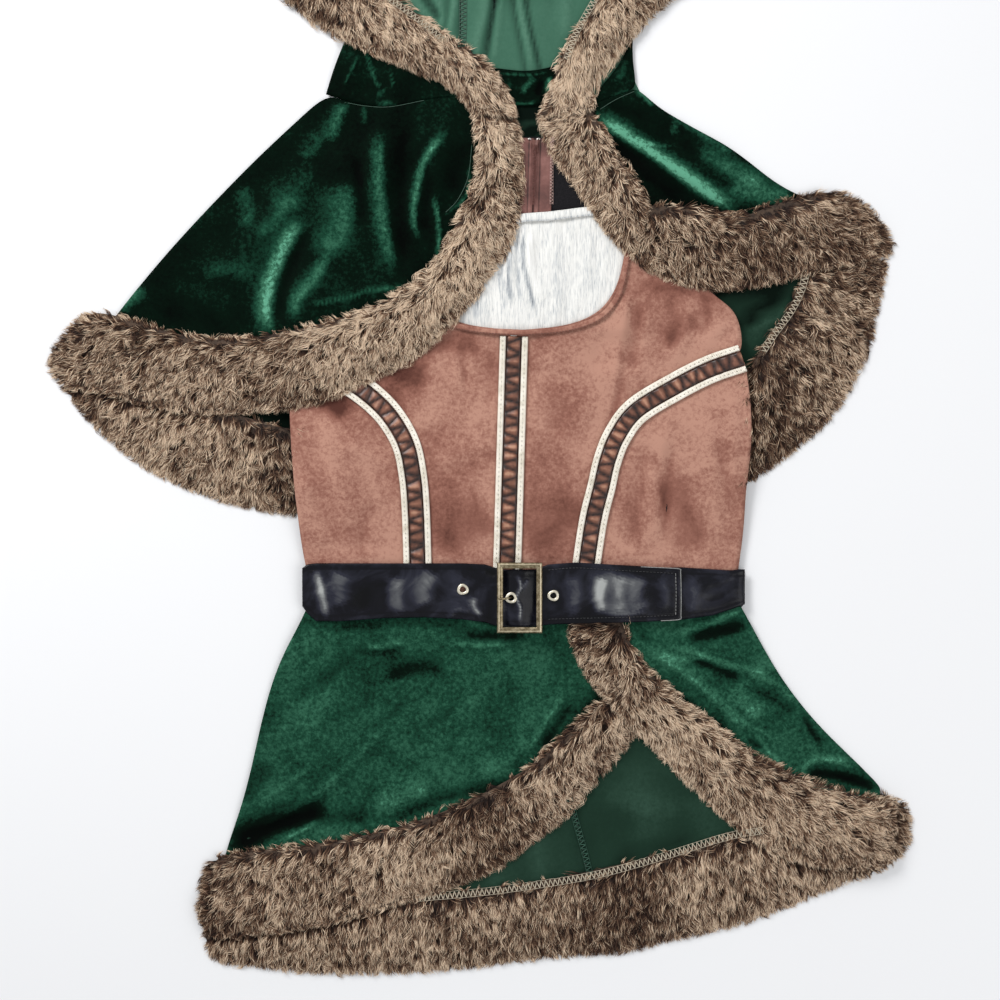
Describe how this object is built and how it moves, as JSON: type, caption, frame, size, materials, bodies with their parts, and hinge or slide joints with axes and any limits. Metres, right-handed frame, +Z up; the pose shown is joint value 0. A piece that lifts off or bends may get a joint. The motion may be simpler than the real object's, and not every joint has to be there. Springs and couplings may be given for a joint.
{
  "type": "archer costume",
  "caption": "Sleeveless suede-cloth dress with velvet wrap skirt, buckled belt and a hooded, fur-edged velvet capelet, laid flat.",
  "frame": {"origin": "centre of the bounding box, on the surface the costume lies on", "axes": "+X to the viewer's right, +Y from hem to hood, +Z up from the surface"},
  "size_m": [0.8571, 1.261, 0.0257],
  "materials": {
    "velvet": "crushed velvet, deep green, soft sheen",
    "fur": "long-pile faux fur, brown roots and pale tips",
    "suede": "faux suede, matt, mottled brown",
    "bodice_lining": "dark reverse side, matt",
    "gauze": "crinkled cream gauze",
    "braid": "flat woven cream braid",
    "lacing": "gathered satin strip, brown",
    "strap": "faux leather, black, semi-gloss",
    "brass": "antique brass, dark in its corners",
    "zip_tape": "woven zip tape, brown",
    "zip_metal": "brown painted slider"
  },
  "bodies": {
    "root": {"hood_back_left": "velvet", "hood_back_right": "velvet", "cape_back": "velvet", "neck_band": "velvet", "skirt_back_left": "velvet", "skirt_back_right": "velvet", "skirt_front_left": "velvet", "skirt_front_right": "velvet", "cape_front_left": "velvet", "cape_front_right": "velvet", "hood_front_left": "velvet", "hood_front_right": "velvet", "fur_cape_back_left": "fur", "fur_cape_back_right": "fur", "fur_skirt_back": "fur", "fur_skirt_front_left": "fur", "fur_skirt_front_right": "fur", "fur_cape_front_left": "fur", "fur_cape_front_right_edge": "fur", "fur_cape_front_right_hem": "fur", "fur_hood_left": "fur", "fur_hood_right": "fur", "bodice_centre_left": "suede", "bodice_centre_right": "suede", "bodice_side_left": "suede", "bodice_side_right": "suede", "neck_binding": "suede", "bodice_back_left": "bodice_lining", "bodice_back_right": "bodice_lining", "neck_inset": "gauze", "inset_casing": "gauze", "braid_centre_outer": "braid", "braid_centre_inner": "braid", "braid_left_outer": "braid", "braid_left_inner": "braid", "braid_right_outer": "braid", "braid_right_inner": "braid", "lacing_centre": "lacing", "lacing_left": "lacing", "lacing_right": "lacing", "belt_back": "strap", "belt_end": "strap", "belt_front": "strap", "eyelet_1": "brass", "eyelet_2": "brass", "eyelet_3": "brass", "buckle_frame": "brass", "buckle_prong": "brass", "zip_tape_left": "zip_tape", "zip_tape_right": "zip_tape", "zip_slider": "zip_metal"}
  },
  "joints": []
}
